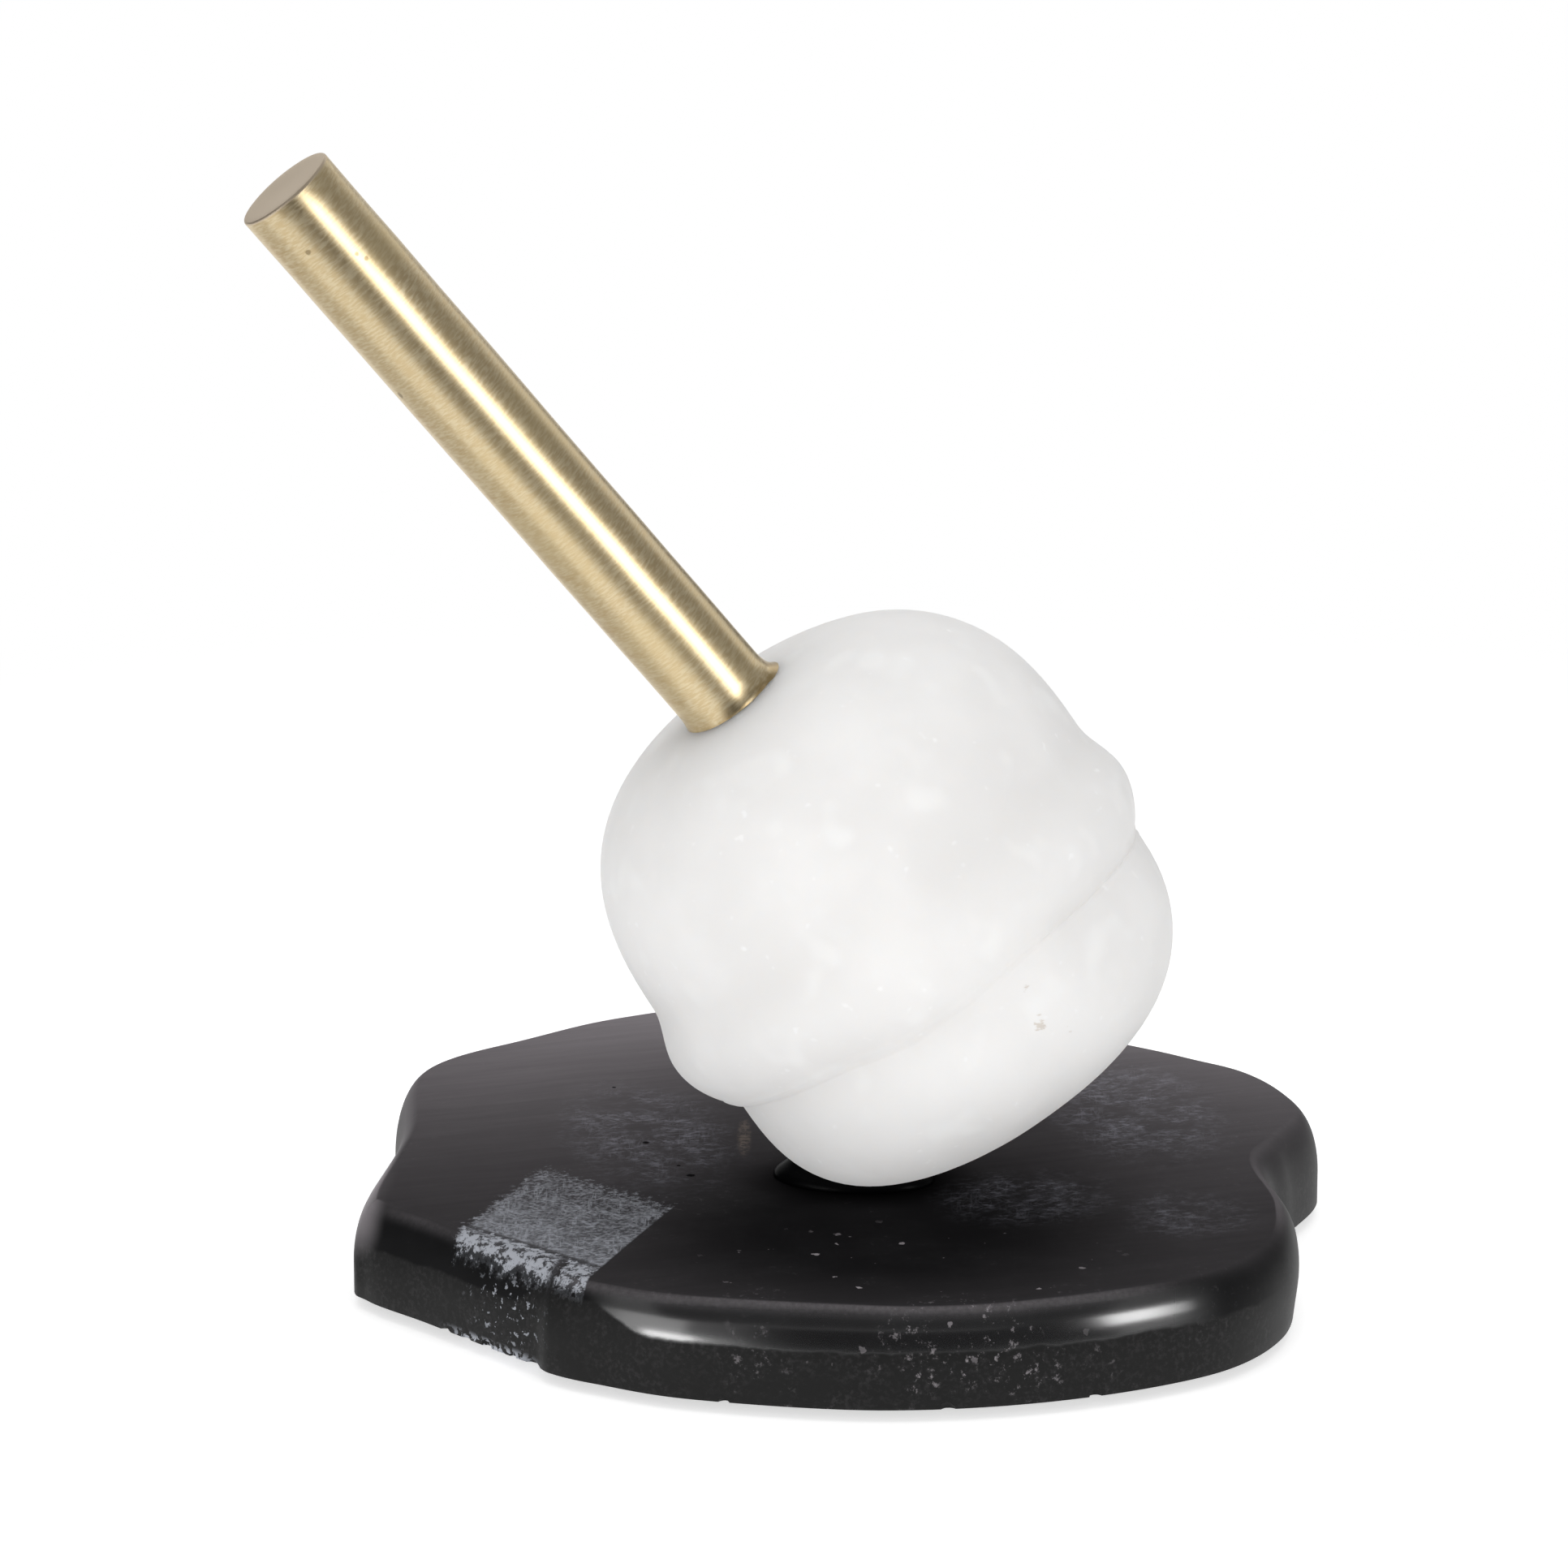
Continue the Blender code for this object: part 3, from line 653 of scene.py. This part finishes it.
def blackMarble(p):
    # black marble: the top honed dull and dusty, with painted light and shade on it, the rolled edge waxed,
    # the wall left as it was ground
    made, add, place = newMaterial("honed black marble")
    x, y, z = (add("SeparateXYZ", [place], k) for k in range(3))
    normal = add("TexCoord", out="Normal")
    facing = add("SeparateXYZ", [normal], "Z")
    frontal = add("SeparateXYZ", [normal], "Y")
    grit = add("TexNoise", {"Vector": place, "Scale": 1 / 0.0006, "Detail": 4, "Roughness": 0.65})
    cloud = add("TexNoise", {"Vector": place, "Scale": 1 / 0.010, "Detail": 4})
    wander = add("TexNoise", {"Vector": place, "Scale": 1 / 0.004, "Detail": 4})
    wander = add("Math", (wander, 0.0012, z), operation="MULTIPLY_ADD")

    # where the finish changes: the front edge is crisp, round the sides the top fades into the wall
    ahead = add("MapRange", (frontal, -0.35, -0.70), **soft)
    top = add("Mix", {0: ahead, 2: add("MapRange", (facing, 0.30, 1.0), **soft),
                      3: add("MapRange", (facing, 0.965, 0.985), **soft)}, data_type="FLOAT")
    rise = add("MapRange", (x, p["waxStart"] + 0.008, p["waxStart"], 0, 0.0028), **soft)
    rise = add("Math", (rise, add("MapRange", (x, p["waxStart"] - 0.009, p["waxStart"] - 0.004), **soft)),
               operation="MULTIPLY")
    lower = add("Math", (wander, rise), operation="SUBTRACT")
    wall = add("Mix", {0: ahead, 2: add("MapRange", (wander, 0.0140, 0.0060), **soft),
                       3: add("MapRange", (lower, 0.0092, 0.0086), **soft)}, data_type="FLOAT")
    roll = add("Math", (1.0, add("Math", (top, wall), operation="MAXIMUM")), operation="SUBTRACT")
    waxed = add("Math", (ahead, add("MapRange", (x, p["waxStart"], p["waxStart"] + 0.005), **soft)),
                operation="MULTIPLY")
    waxed = add("Math", (waxed, add("MapRange", (x, p["waxEnd"], p["waxEnd"] - 0.011), **soft)),
                operation="MULTIPLY")
    colour = add("Mix", {0: add("MapRange", (cloud, 0.35, 0.7), **soft), 6: linear("#121213"),
                         7: linear("#181819")},
                 2, data_type="RGBA")
    colour = add("Mix", {0: wall, 6: colour, 7: linear("#171717")}, 2, data_type="RGBA")

    def spot(centre, size, turn=0.0, core=0.35):
        # 1 in the middle of a turned ellipsoid, falling to 0 at its edge
        inside = add("Mapping", {"Vector": place, "Location": centre, "Rotation": (0, 0, turn),
                                 "Scale": size},
                     vector_type="TEXTURE")
        return add("MapRange", (add("VectorMath", [inside], "Value", operation="LENGTH"), 1.0, core),
                   **soft)

    # a thin haze of stone dust over the top; made thicker towards the back as painted light, and taken down
    # round the head and in front of it as painted shade where the head shades the top
    # painted light: the haze grows towards the back, where more light falls on the top
    back = add("MapRange", (y, -0.050, 0.055))
    hazeWithPaintedLightAndShade = add("Math", (add("Math", (back, 2.3), operation="POWER"), 0.40, 0.055), operation="MULTIPLY_ADD")
    hazeWithPaintedLightAndShade = add("Math", (hazeWithPaintedLightAndShade, top), operation="MULTIPLY")
    # painted shade: the haze is darkened in front of the head and round it, where the head shades the top
    for centre, size, core, kept in p["paintedHeadShade"]:
        hazeWithPaintedLightAndShade = add("Math", (hazeWithPaintedLightAndShade, add("MapRange", (spot(centre, size, 0, core), 0, 1, 1, kept))),
                   operation="MULTIPLY")
    streak = add("Mapping", {"Vector": place, "Rotation": (0, 0, 0.3), "Scale": (0.02, 0.0014, 0.01)},
                 vector_type="TEXTURE")
    streak = add("TexNoise", {"Vector": streak, "Scale": 1, "Detail": 4, "Roughness": 0.6})
    hazeWithPaintedLightAndShade = add("Math", (hazeWithPaintedLightAndShade, add("MapRange", (streak, 0.3, 0.7, 0.93, 1.07))), operation="MULTIPLY")
    # hair scratches 4 to 7 mm long and 0.8 mm wide, coarser than real ones so that they show
    hair = 0.0
    for turn, length in ((0.2, 0.004), (0.9, 0.006), (1.57, 0.007), (2.3, 0.006)):
        line = add("Mapping", {"Vector": place, "Rotation": (0, 0, turn), "Scale": (length, 0.0008, 0.002)},
                   vector_type="TEXTURE")
        line = add("TexNoise", {"Vector": line, "Scale": 1, "Detail": 3, "Roughness": 0.6})
        line = add("Math", (add("Math", (line, 0.5), operation="SUBTRACT"), 0), operation="ABSOLUTE")
        kept = add("Mapping", {"Vector": place, "Rotation": (0, 0, turn), "Scale": (length, 0.0015, 0.002)},
                   vector_type="TEXTURE")
        kept = add("MapRange", (add("TexNoise", {"Vector": kept, "Scale": 1}), 0.46, 0.60), **soft)
        hair = add("Math", (hair, add("Math", (kept, add("MapRange", (line, 0.065, 0.015), **soft)),
                                      operation="MULTIPLY")), operation="MAXIMUM")
    patchy = add("MapRange", (add("TexNoise", {"Vector": place, "Scale": 1 / 0.005, "Detail": 4}), 0.28,
                              0.60), **soft)
    scuffed = 0.0
    for centre, size, turn in p["scuffs"]:
        scuffed = add("Math", (scuffed, spot(centre, size, turn)), operation="MAXIMUM")
    scuffed = add("Math", (scuffed, patchy), operation="MULTIPLY")
    scuffed = add("Math", (scuffed, add("MapRange", (y, -0.03, 0.01, 0.4, 1.0))), operation="MULTIPLY")
    mealy = add("Mapping", {"Vector": place, "Rotation": (0, 0, 0.2), "Scale": (0.0014, 0.0008, 0.001)},
                vector_type="TEXTURE")
    mealy = add("TexNoise", {"Vector": mealy, "Scale": 1, "Detail": 4, "Roughness": 0.65})
    mealy = add("Math", (hair, 0.08, add("MapRange", (mealy, 0.47, 0.66, 0, 0.19), **soft)),
                operation="MULTIPLY_ADD")
    # a painted highlight with a dusty grain on the ground band under the arris, a paler roll at the left
    # side, a painted highlight on the right edge, a paler strip on the left edge, and dust in smears on the
    # wall
    # painted highlight: the band under the arris is made paler where its edge catches the light
    band = add("Math", (add("MapRange", (facing, 0.45, 0.90), **soft),
                        add("MapRange", (facing, 0.999, 0.985), **soft)),
               operation="MULTIPLY")
    band = add("Math", (band, add("MapRange", (grit, 0.3, 0.7, 0.15, 0.24))), operation="MULTIPLY")
    band = add("Math", (band, add("MapRange", (x, p["waxEnd"] - 0.003, p["waxEnd"] - 0.014, 0.1, 1.0),
                                  **soft)), operation="MULTIPLY")
    dustWithPaintedLightAndShade = add("Math", (band, ahead, hazeWithPaintedLightAndShade), operation="MULTIPLY_ADD")
    # paler on the roll at the left side
    sides = add("Math", (add("MapRange", (x, -0.03, -0.055, 0.05, 0.20), **soft),
                         add("MapRange", (y, -0.022, -0.008), **soft)),
                operation="MULTIPLY")
    dustWithPaintedLightAndShade = add("Math", (roll, add("Math", (sides, add("MapRange", (ahead, 1, 0))), operation="MULTIPLY"),
                        dustWithPaintedLightAndShade),
               operation="MULTIPLY_ADD")
    # painted highlight: the right edge is made paler where the arris catches the light
    rim = add("Math", (spot(*p["rightRim"]), add("MapRange", (facing, 0.5, 0.9, 0.0, 0.12), **soft)),
              operation="MULTIPLY")
    dustWithPaintedLightAndShade = add("Math", (dustWithPaintedLightAndShade, add("Math", (rim, add("MapRange", (facing, 0.999, 0.98), **soft)),
                                  operation="MULTIPLY")),
               operation="ADD")
    # a paler strip along the left edge
    rim = add("Math", (spot(*p["leftRim"]), add("MapRange", (facing, 0.9995, 0.9, 0.10, 0.50), **soft)),
              operation="MULTIPLY")
    dustWithPaintedLightAndShade = add("Math", (dustWithPaintedLightAndShade, rim), operation="ADD")
    smear = add("Math", (patchy, add("MapRange", (grit, 0.45, 0.65, 0, 0.02), **soft)),
                operation="MULTIPLY")
    dustWithPaintedLightAndShade = add("Math", (smear, wall, dustWithPaintedLightAndShade), operation="MULTIPLY_ADD")
    # white specks: single ones on the top, a fine crowd on the front
    warped = add("VectorMath",
                 (add("TexNoise", {"Vector": place, "Scale": 1 / 0.0007, "Detail": 3}, "Color"),
                  (0.0012,) * 3, place),
                 operation="MULTIPLY_ADD")
    near = add("TexVoronoi", {"Vector": warped, "Scale": 1 / 0.0026}, "Distance")
    chance = add("SeparateColor", [add("TexVoronoi", {"Vector": warped, "Scale": 1 / 0.0026}, "Color")],
                 "Red")
    reach = add("MapRange", (chance, 0.2, 1.0, 0.0, 0.17))
    single = add("MapRange", (add("Math", (near, reach), operation="SUBTRACT"), 0.02, -0.02, 0, 0.5),
                 **soft)
    single = add("Math", (single, spot(*p["specks"])), operation="MULTIPLY")
    flake = add("TexNoise", {"Vector": place, "Scale": 1 / 0.0012, "Detail": 5, "Roughness": 0.75})
    crowd = add("Math", (add("MapRange", (flake, 0.56, 0.68), **soft),
                         add("MapRange", (cloud, 0.50, 0.66), **soft)),
                operation="MULTIPLY")
    crowd = add("Math", (crowd, add("MapRange", (spot(*p["crowd"]), 0, 1, 0.03, 0.38))),
                operation="MULTIPLY")
    dustWithPaintedLightAndShade = add("Math", (dustWithPaintedLightAndShade, add("Math", (single, crowd), operation="MAXIMUM")), operation="ADD")
    colour = add("Mix", {0: dustWithPaintedLightAndShade, 6: colour, 7: linear("#C9C2C7")}, 2, data_type="RGBA")
    scuffed = add("Math", (scuffed, mealy), operation="MULTIPLY")
    colour = add("Mix", {0: scuffed, 6: colour, 7: linear("#C3C4D2")}, 2, data_type="RGBA")

    # the rubbed patch at the front left: straight on its right side, ragged elsewhere, crusted at the roll
    offset = add("VectorMath", (place, p["patchCentre"]), operation="SUBTRACT")
    across = add("VectorMath", (offset, (0.990, -0.390, 0)), "Value", operation="DOT_PRODUCT")
    down = add("VectorMath", (offset, (-0.706, -0.798, 0)), "Value", operation="DOT_PRODUCT")
    ragged = add("TexNoise", {"Vector": place, "Scale": 1 / 0.0012, "Detail": 4, "Roughness": 0.7})
    ragged = add("Math", (add("Math", (ragged, 0.5), operation="SUBTRACT"), 0.006), operation="MULTIPLY")
    patch = add("MapRange", (across, 0.0107, 0.0104), **soft)
    for value, wave, low, high in ((across, 1.0, -0.0114, -0.0100), (down, 2.0, -0.0150, -0.0122),
                                   (down, 2.0, 0.0152, 0.0140), (z, 1.0, 0.0102, 0.0112)):
        limit = add("Math", (ragged, wave, value), operation="MULTIPLY_ADD")
        patch = add("Math", (patch, add("MapRange", (limit, low, high), **soft)), operation="MULTIPLY")
    worn = add("Math", (add("MapRange", (grit, 0.42, 0.62, 0.0, 0.22), **soft),
                        add("MapRange", (down, -0.014, 0.009, -0.02, 0.16))),
               operation="ADD")
    worn = add("Math", (hair, 0.22, worn), operation="MULTIPLY_ADD")
    gap = add("Math", (add("Math", (down, 0.0086), operation="SUBTRACT"), 0), operation="ABSOLUTE")
    worn = add("Math", (worn, add("MapRange", (gap, 0.0002, 0.0009, 0.25, 1.0), **soft)),
               operation="MULTIPLY")
    flake = add("Math", (flake, add("MapRange", (wander, 0.0106, 0.0130, -0.16, 0.0))), operation="ADD")
    flake = add("MapRange", (flake, 0.44, 0.53, 0.06, 0.78), **soft)
    parting = add("Math", (add("Math", (across, ragged), operation="ADD"), 0.0056), operation="SUBTRACT")
    parting = add("Math", (parting, 0), operation="ABSOLUTE")
    flake = add("Math", (flake, add("MapRange", (parting, 0.0003, 0.0010, 0.05, 1.0), **soft)),
                operation="MULTIPLY")
    crust = add("MapRange", (add("Math", (down, ragged), operation="ADD"), 0.0088, 0.0096), **soft)
    white = add("Math", (patch, add("Mix", {0: crust, 2: worn, 3: flake}, data_type="FLOAT")),
                operation="MULTIPLY")
    # crumbs on the wall below the patch and along the broken bottom edge
    low = add("MapRange", (z, 0.0027, 0.0016), **soft)
    for where, size, least, most, share, zone in ((p["crumbs"], 0.0008, 0.60, 0.66, 0.65, 1.0),
                                                  (p["broken"], 0.0009, 0.47, 0.54, 0.8, low)):
        bit = add("TexNoise", {"Vector": place, "Scale": 1 / size, "Detail": 3, "Roughness": 0.6})
        bit = add("Math", (add("MapRange", (bit, least, most, 0, share), **soft), spot(*where)),
                  operation="MULTIPLY")
        white = add("Math", (white, add("Math", (bit, zone), operation="MULTIPLY")), operation="MAXIMUM")
    colour = add("Mix", {0: white, 6: colour, 7: linear("#BFC3CC")}, 2, data_type="RGBA")
    # a few dark pits in the honed top
    for at, size in p["pits"]:
        away = add("VectorMath", (place, at), "Value", operation="DISTANCE")
        away = add("Math", (grit, size, away), operation="MULTIPLY_ADD")
        pit = add("MapRange", (away, size * 1.6, size * 1.1, 0, 0.9), **soft)
        colour = add("Mix", {0: pit, 6: colour, 7: linear("#060607")}, 2, data_type="RGBA")
    # painted shade: near-black on the slab round the bead, where the head shades it; and a smear of old
    # glue beside the head
    paintedContactShade = add("MapRange", (spot(*p["paintedContactShade"]), 0, 1, 0, 0.9))
    colour = add("Mix", {0: paintedContactShade, 6: colour, 7: linear("#030303")}, 2, data_type="RGBA")
    glue = add("Math", (spot(*p["glue"]), add("MapRange", (grit, 0.40, 0.6, 0.05, 0.40), **soft)),
               operation="MULTIPLY")
    colour = add("Mix", {0: glue, 6: colour, 7: linear("#988A7E")}, 2, data_type="RGBA")

    # gloss: wax on the front roll only
    rough = add("Mix", {0: top, 2: add("MapRange", (waxed, 0, 1, 0.45, 0.18)), 3: 0.5}, data_type="FLOAT")
    rough = add("Mix", {0: wall, 2: rough, 3: 0.5}, data_type="FLOAT")
    rough = add("Mix", {0: add("MapRange", (white, 0.05, 0.3)), 2: rough, 3: 0.8}, data_type="FLOAT")
    shine = add("Mix", {0: waxed, 2: 0.06, 3: add("MapRange", (facing, 0.8, 0.5, 0.1, 0.9), **soft)},
                data_type="FLOAT")
    shine = add("Mix", {0: top, 2: shine, 3: 0.0}, data_type="FLOAT")
    shine = add("Mix", {0: wall, 2: shine, 3: 0.16}, data_type="FLOAT")
    wax = add("Math", (roll, add("Math", (waxed, add("MapRange", (facing, 0.75, 0.5), **soft)),
                                 operation="MULTIPLY")),
              operation="MULTIPLY")
    height = add("Math", (grit, add("MapRange", (roll, 0, 1, 0.15, 0.0)), white), operation="MULTIPLY_ADD")
    add("OutputMaterial", [add("BsdfPrincipled", {
        "Base Color": colour, "Roughness": rough, "Specular IOR Level": shine,
        "Coat Weight": wax, "Coat Roughness": 0.15, "Coat IOR": 1.6,
        "Normal": add("Bump", {"Height": height, "Strength": 0.25, "Distance": 0.0002})})])
    return made


def plain(name, code, roughness, metallic=0.0, size=0.002, depth=0.1, shine=0.5):
    # one even colour, a quarter darker in its grain
    made, add, place = newMaterial(name)
    shade = add("TexNoise", {"Vector": place, "Scale": 1 / size, "Detail": 3})
    dark = [c * 0.75 for c in linear(code)[:3]] + [1.0]
    add("OutputMaterial", [add("BsdfPrincipled", {
        "Base Color": add("Mix", {0: shade, 6: dark, 7: linear(code)}, 2, data_type="RGBA"),
        "Roughness": roughness, "Metallic": metallic, "Specular IOR Level": shine,
        "Normal": add("Bump", {"Height": shade, "Strength": depth, "Distance": 0.0002})})])
    return made


blackEpoxy = plain("cured black epoxy", "#050506", 0.3, size=0.004, depth=0.05, shine=0.04)
blackFelt = plain("pressed black felt", "#1A1A1B", 0.95, size=0.0005, depth=0.6)
brightSteel = plain("ground steel", "#B9B9B8", 0.35, metallic=1.0, size=0.0006, depth=0.1)

finishPiece(head, "lollipop_head", whiteMarble(headPart))
finishPiece(stick, "stick", brushedBrass(stickPart))
finishPiece(slab, "base_slab", blackMarble(slabPart))
finishPiece(bead, "adhesive_bead", blackEpoxy)
finishPiece(felt, "felt_underlay", blackFelt)
for name, node in nodes.items():
    if "dowel" in name:
        node.data.materials.clear()
        node.data.materials.append(blackEpoxy if "adhesive" in name else brightSteel)


# stage: floor, cards that only reflections see, lamps, world, camera

def stagePlane(name, place, width, height):
    bpy.ops.mesh.primitive_plane_add(size=1)
    plane = added(name)
    settle(plane, place @ Matrix.Diagonal((width, height, 1, 1)))
    return plane


def aimed(at, target):
    return Matrix.Translation(at) @ (Vector(target) - Vector(at)).to_track_quat("-Z",
                                                                                "Y").to_matrix().to_4x4()


floor = stagePlane("floor", Matrix.Translation((0, 0, -0.0002)), 8, 8)
floorMaterial, add, place = newMaterial("white paper sweep")
away = add("VectorMath", [place], "Value", operation="LENGTH")
seen = add("Math", (add("LightPath", out="Is Camera Ray"), add("LightPath", out="Is Transmission Ray")),
           operation="MAXIMUM")
seen = add("Math", (seen, add("LightPath", out="Is Glossy Ray")), operation="MAXIMUM")
paper = add("BsdfDiffuse", {"Color": linear("#E8E8E8")})
lift = add("Emission", {"Strength": add("MapRange", (seen, 0, 1, 0.55, 0.62))})
white = add("Emission", {"Strength": add("MapRange", (seen, 0, 1, 0.75, 1.0))})
fade = add("MapRange", (away, 0.10, 0.30), **soft)
add("OutputMaterial", [add("MixShader", (fade, add("AddShader", (paper, lift)), white))])
floor.data.materials.append(floorMaterial)


def aroundObject(turn, rise, far):
    # a place seen from the object: turn to the right of the camera's side, rise above the table
    return Vector((sin(radians(turn)) * cos(radians(rise)), -cos(radians(turn)) * cos(radians(rise)),
                   sin(radians(rise)))) * far + Vector((0, 0, 0.05))


for name, spot, width, height, grey in (
    ("frontFlag", Matrix.Translation((0.034, -0.35, 0.001)), 0.16, 0.34, 0.28),
    ("leftFloorFlag", Matrix.Translation((-0.135, 0.01, 0.001)), 0.14, 0.18, 0.70),
    ("frontFloorLeft", Matrix.Translation((-0.16, -0.42, 0.001)), 0.22, 0.32, 0.25),
    ("rightFloorFlag", Matrix.Rotation(radians(35), 4, "Z") @ Matrix.Translation((0, -0.55, 0.0012)), 0.50,
     0.80, 0.12),
    ("farFlag", aimed(aroundObject(27, 9, 2.0), (0, 0, 0.05)), 1.4, 0.80, 0.04),
    ("frontUpperFlag", aimed(aroundObject(0, 40, 0.95), (0, 0, 0.05)), 1.7, 0.62, 0.10),
    ("frontFlagUpright", aimed((0.0, -0.50, 0.10), (0, 0, 0.10)), 0.42, 0.20, 0.04),
    ("rightFlag", aimed((0.5, -0.03, 0.27), (0, 0, 0.1)), 0.42, 0.34, 0.30),
    ("leftFlag", aimed((-0.5, 0.10, 0.20), (0, 0, 0.05)), 0.60, 0.40, 0.05),
    ("backRightFlag", aimed((0.32, 0.40, 0.07), (0, 0, 0.05)), 0.42, 0.20, 0.05),
):
    card = stagePlane(name, spot, width, height)
    cardMaterial, add, place = newMaterial(name + " card")
    add("OutputMaterial", [add("Emission", {"Strength": grey})])
    card.data.materials.append(cardMaterial)
    card.visible_camera = card.visible_diffuse = card.visible_shadow = card.visible_transmission = False


# some lamps light one stone or the brass alone
litBy = {}
for group, members in (("brass", [stick]), ("head", [head]), ("slab", [slab, bead, felt, floor])):
    litBy[group] = bpy.data.collections.new(group + " lit")
    for obj in members:
        litBy[group].objects.link(obj)


def areaLamp(name, place, width, height, level, mirrored, group):
    bpy.ops.object.light_add(type="AREA")
    lamp = added(name)
    lamp.matrix_world = place
    lamp.data.shape = "RECTANGLE"
    lamp.data.size = width
    lamp.data.size_y = height
    lamp.data.energy = level * pi * width * height
    lamp.visible_camera = False
    lamp.visible_glossy = mirrored
    if group:
        lamp.light_linking.receiver_collection = litBy[group]


for name, turn, rise, far, width, height, level, mirrored, group in (
    ("keyRight", 51, 11, 0.8, 0.20, 0.16, 7.0, True, "slab"),
    ("headRight", 36, 11, 0.8, 0.22, 0.16, 4.0, False, "head"),
    ("keyLeft", -38.5, -1, 0.8, 0.28, 0.06, 8.5, True, "slab"),
    ("headLeft", -28, -1, 0.8, 0.48, 0.06, 4.4, False, "head"),
    ("softLeft", -45, 9, 0.8, 0.36, 0.24, 1.3, True, ""),
    ("fillFront", 0, 30, 0.9, 0.5, 0.4, 1.4, False, ""),
    ("softTop", 0, 85, 0.9, 0.8, 0.8, 1.2, False, ""),
    ("softBack", 180, 31, 0.9, 1.0, 0.33, 1.0, True, ""),
    ("headTop", 12, 55, 0.8, 0.4, 0.4, 1.5, False, "head"),
    ("stickStrip", 41.5, 6, 1.8, 0.90, 0.41, 7.6, True, "brass"),
    ("stickRim", 133, 18, 1.0, 0.5, 0.2, 0.85, True, "brass"),
    ("stickEnd", -153, 14, 1.0, 0.5, 0.4, 0.55, True, "brass"),
):
    areaLamp(name, aimed(aroundObject(turn, rise, far), (0, 0, 0.05)), width, height, level, mirrored,
             group)

# a low reflector under the head
bpy.ops.object.light_add(type="AREA", location=(0, -0.012, slabPart["top"] + 0.0006), rotation=(pi, 0, 0))
lamp = added("underFill")
lamp.data.shape = "DISK"
lamp.data.size = 0.08
lamp.data.energy = 0.45 * pi * pi * 0.04 ** 2
lamp.visible_camera = lamp.visible_glossy = False

# pale table in front, for the brass alone
tablePlace = Matrix.Translation((0.07, -0.42, 0.003)) @ Matrix.Rotation(pi, 4, "X")
areaLamp("stickTable", tablePlace, 0.34, 0.56, 0.25, True, "brass")
print("stage lit", len(bpy.data.lights), "lamps")

world = bpy.data.worlds.new("white tent")
bpy.context.scene.world = world
world.use_nodes = True
world.node_tree.nodes.clear()
add = partial(addNode, world.node_tree)
upward = add("SeparateXYZ", [add("TexCoord", out="Generated")], "Z")
shade = add("Mix", {0: add("MapRange", (upward, 0.02, 0.10), **soft), 6: (1, 1, 1, 1),
                    7: (0.38, 0.38, 0.38, 1)},
            2, data_type="RGBA")
add("OutputWorld", [add("Background", (shade, 1.0))])

bpy.ops.object.camera_add(location=(-0.00705, -0.93498, 0.3365), rotation=(radians(73.5), 0, 0))
camera = added("camera")
camera.data.sensor_width = 36
# the photo is 1932 pixels wide, and its lens 10000 pixels long
camera.data.lens = 36 * 10000 / 1932
camera.data.clip_start = 0.01
camera.data.dof.use_dof = False
bpy.context.scene.camera = camera
bpy.context.scene.view_settings.view_transform = "Standard"
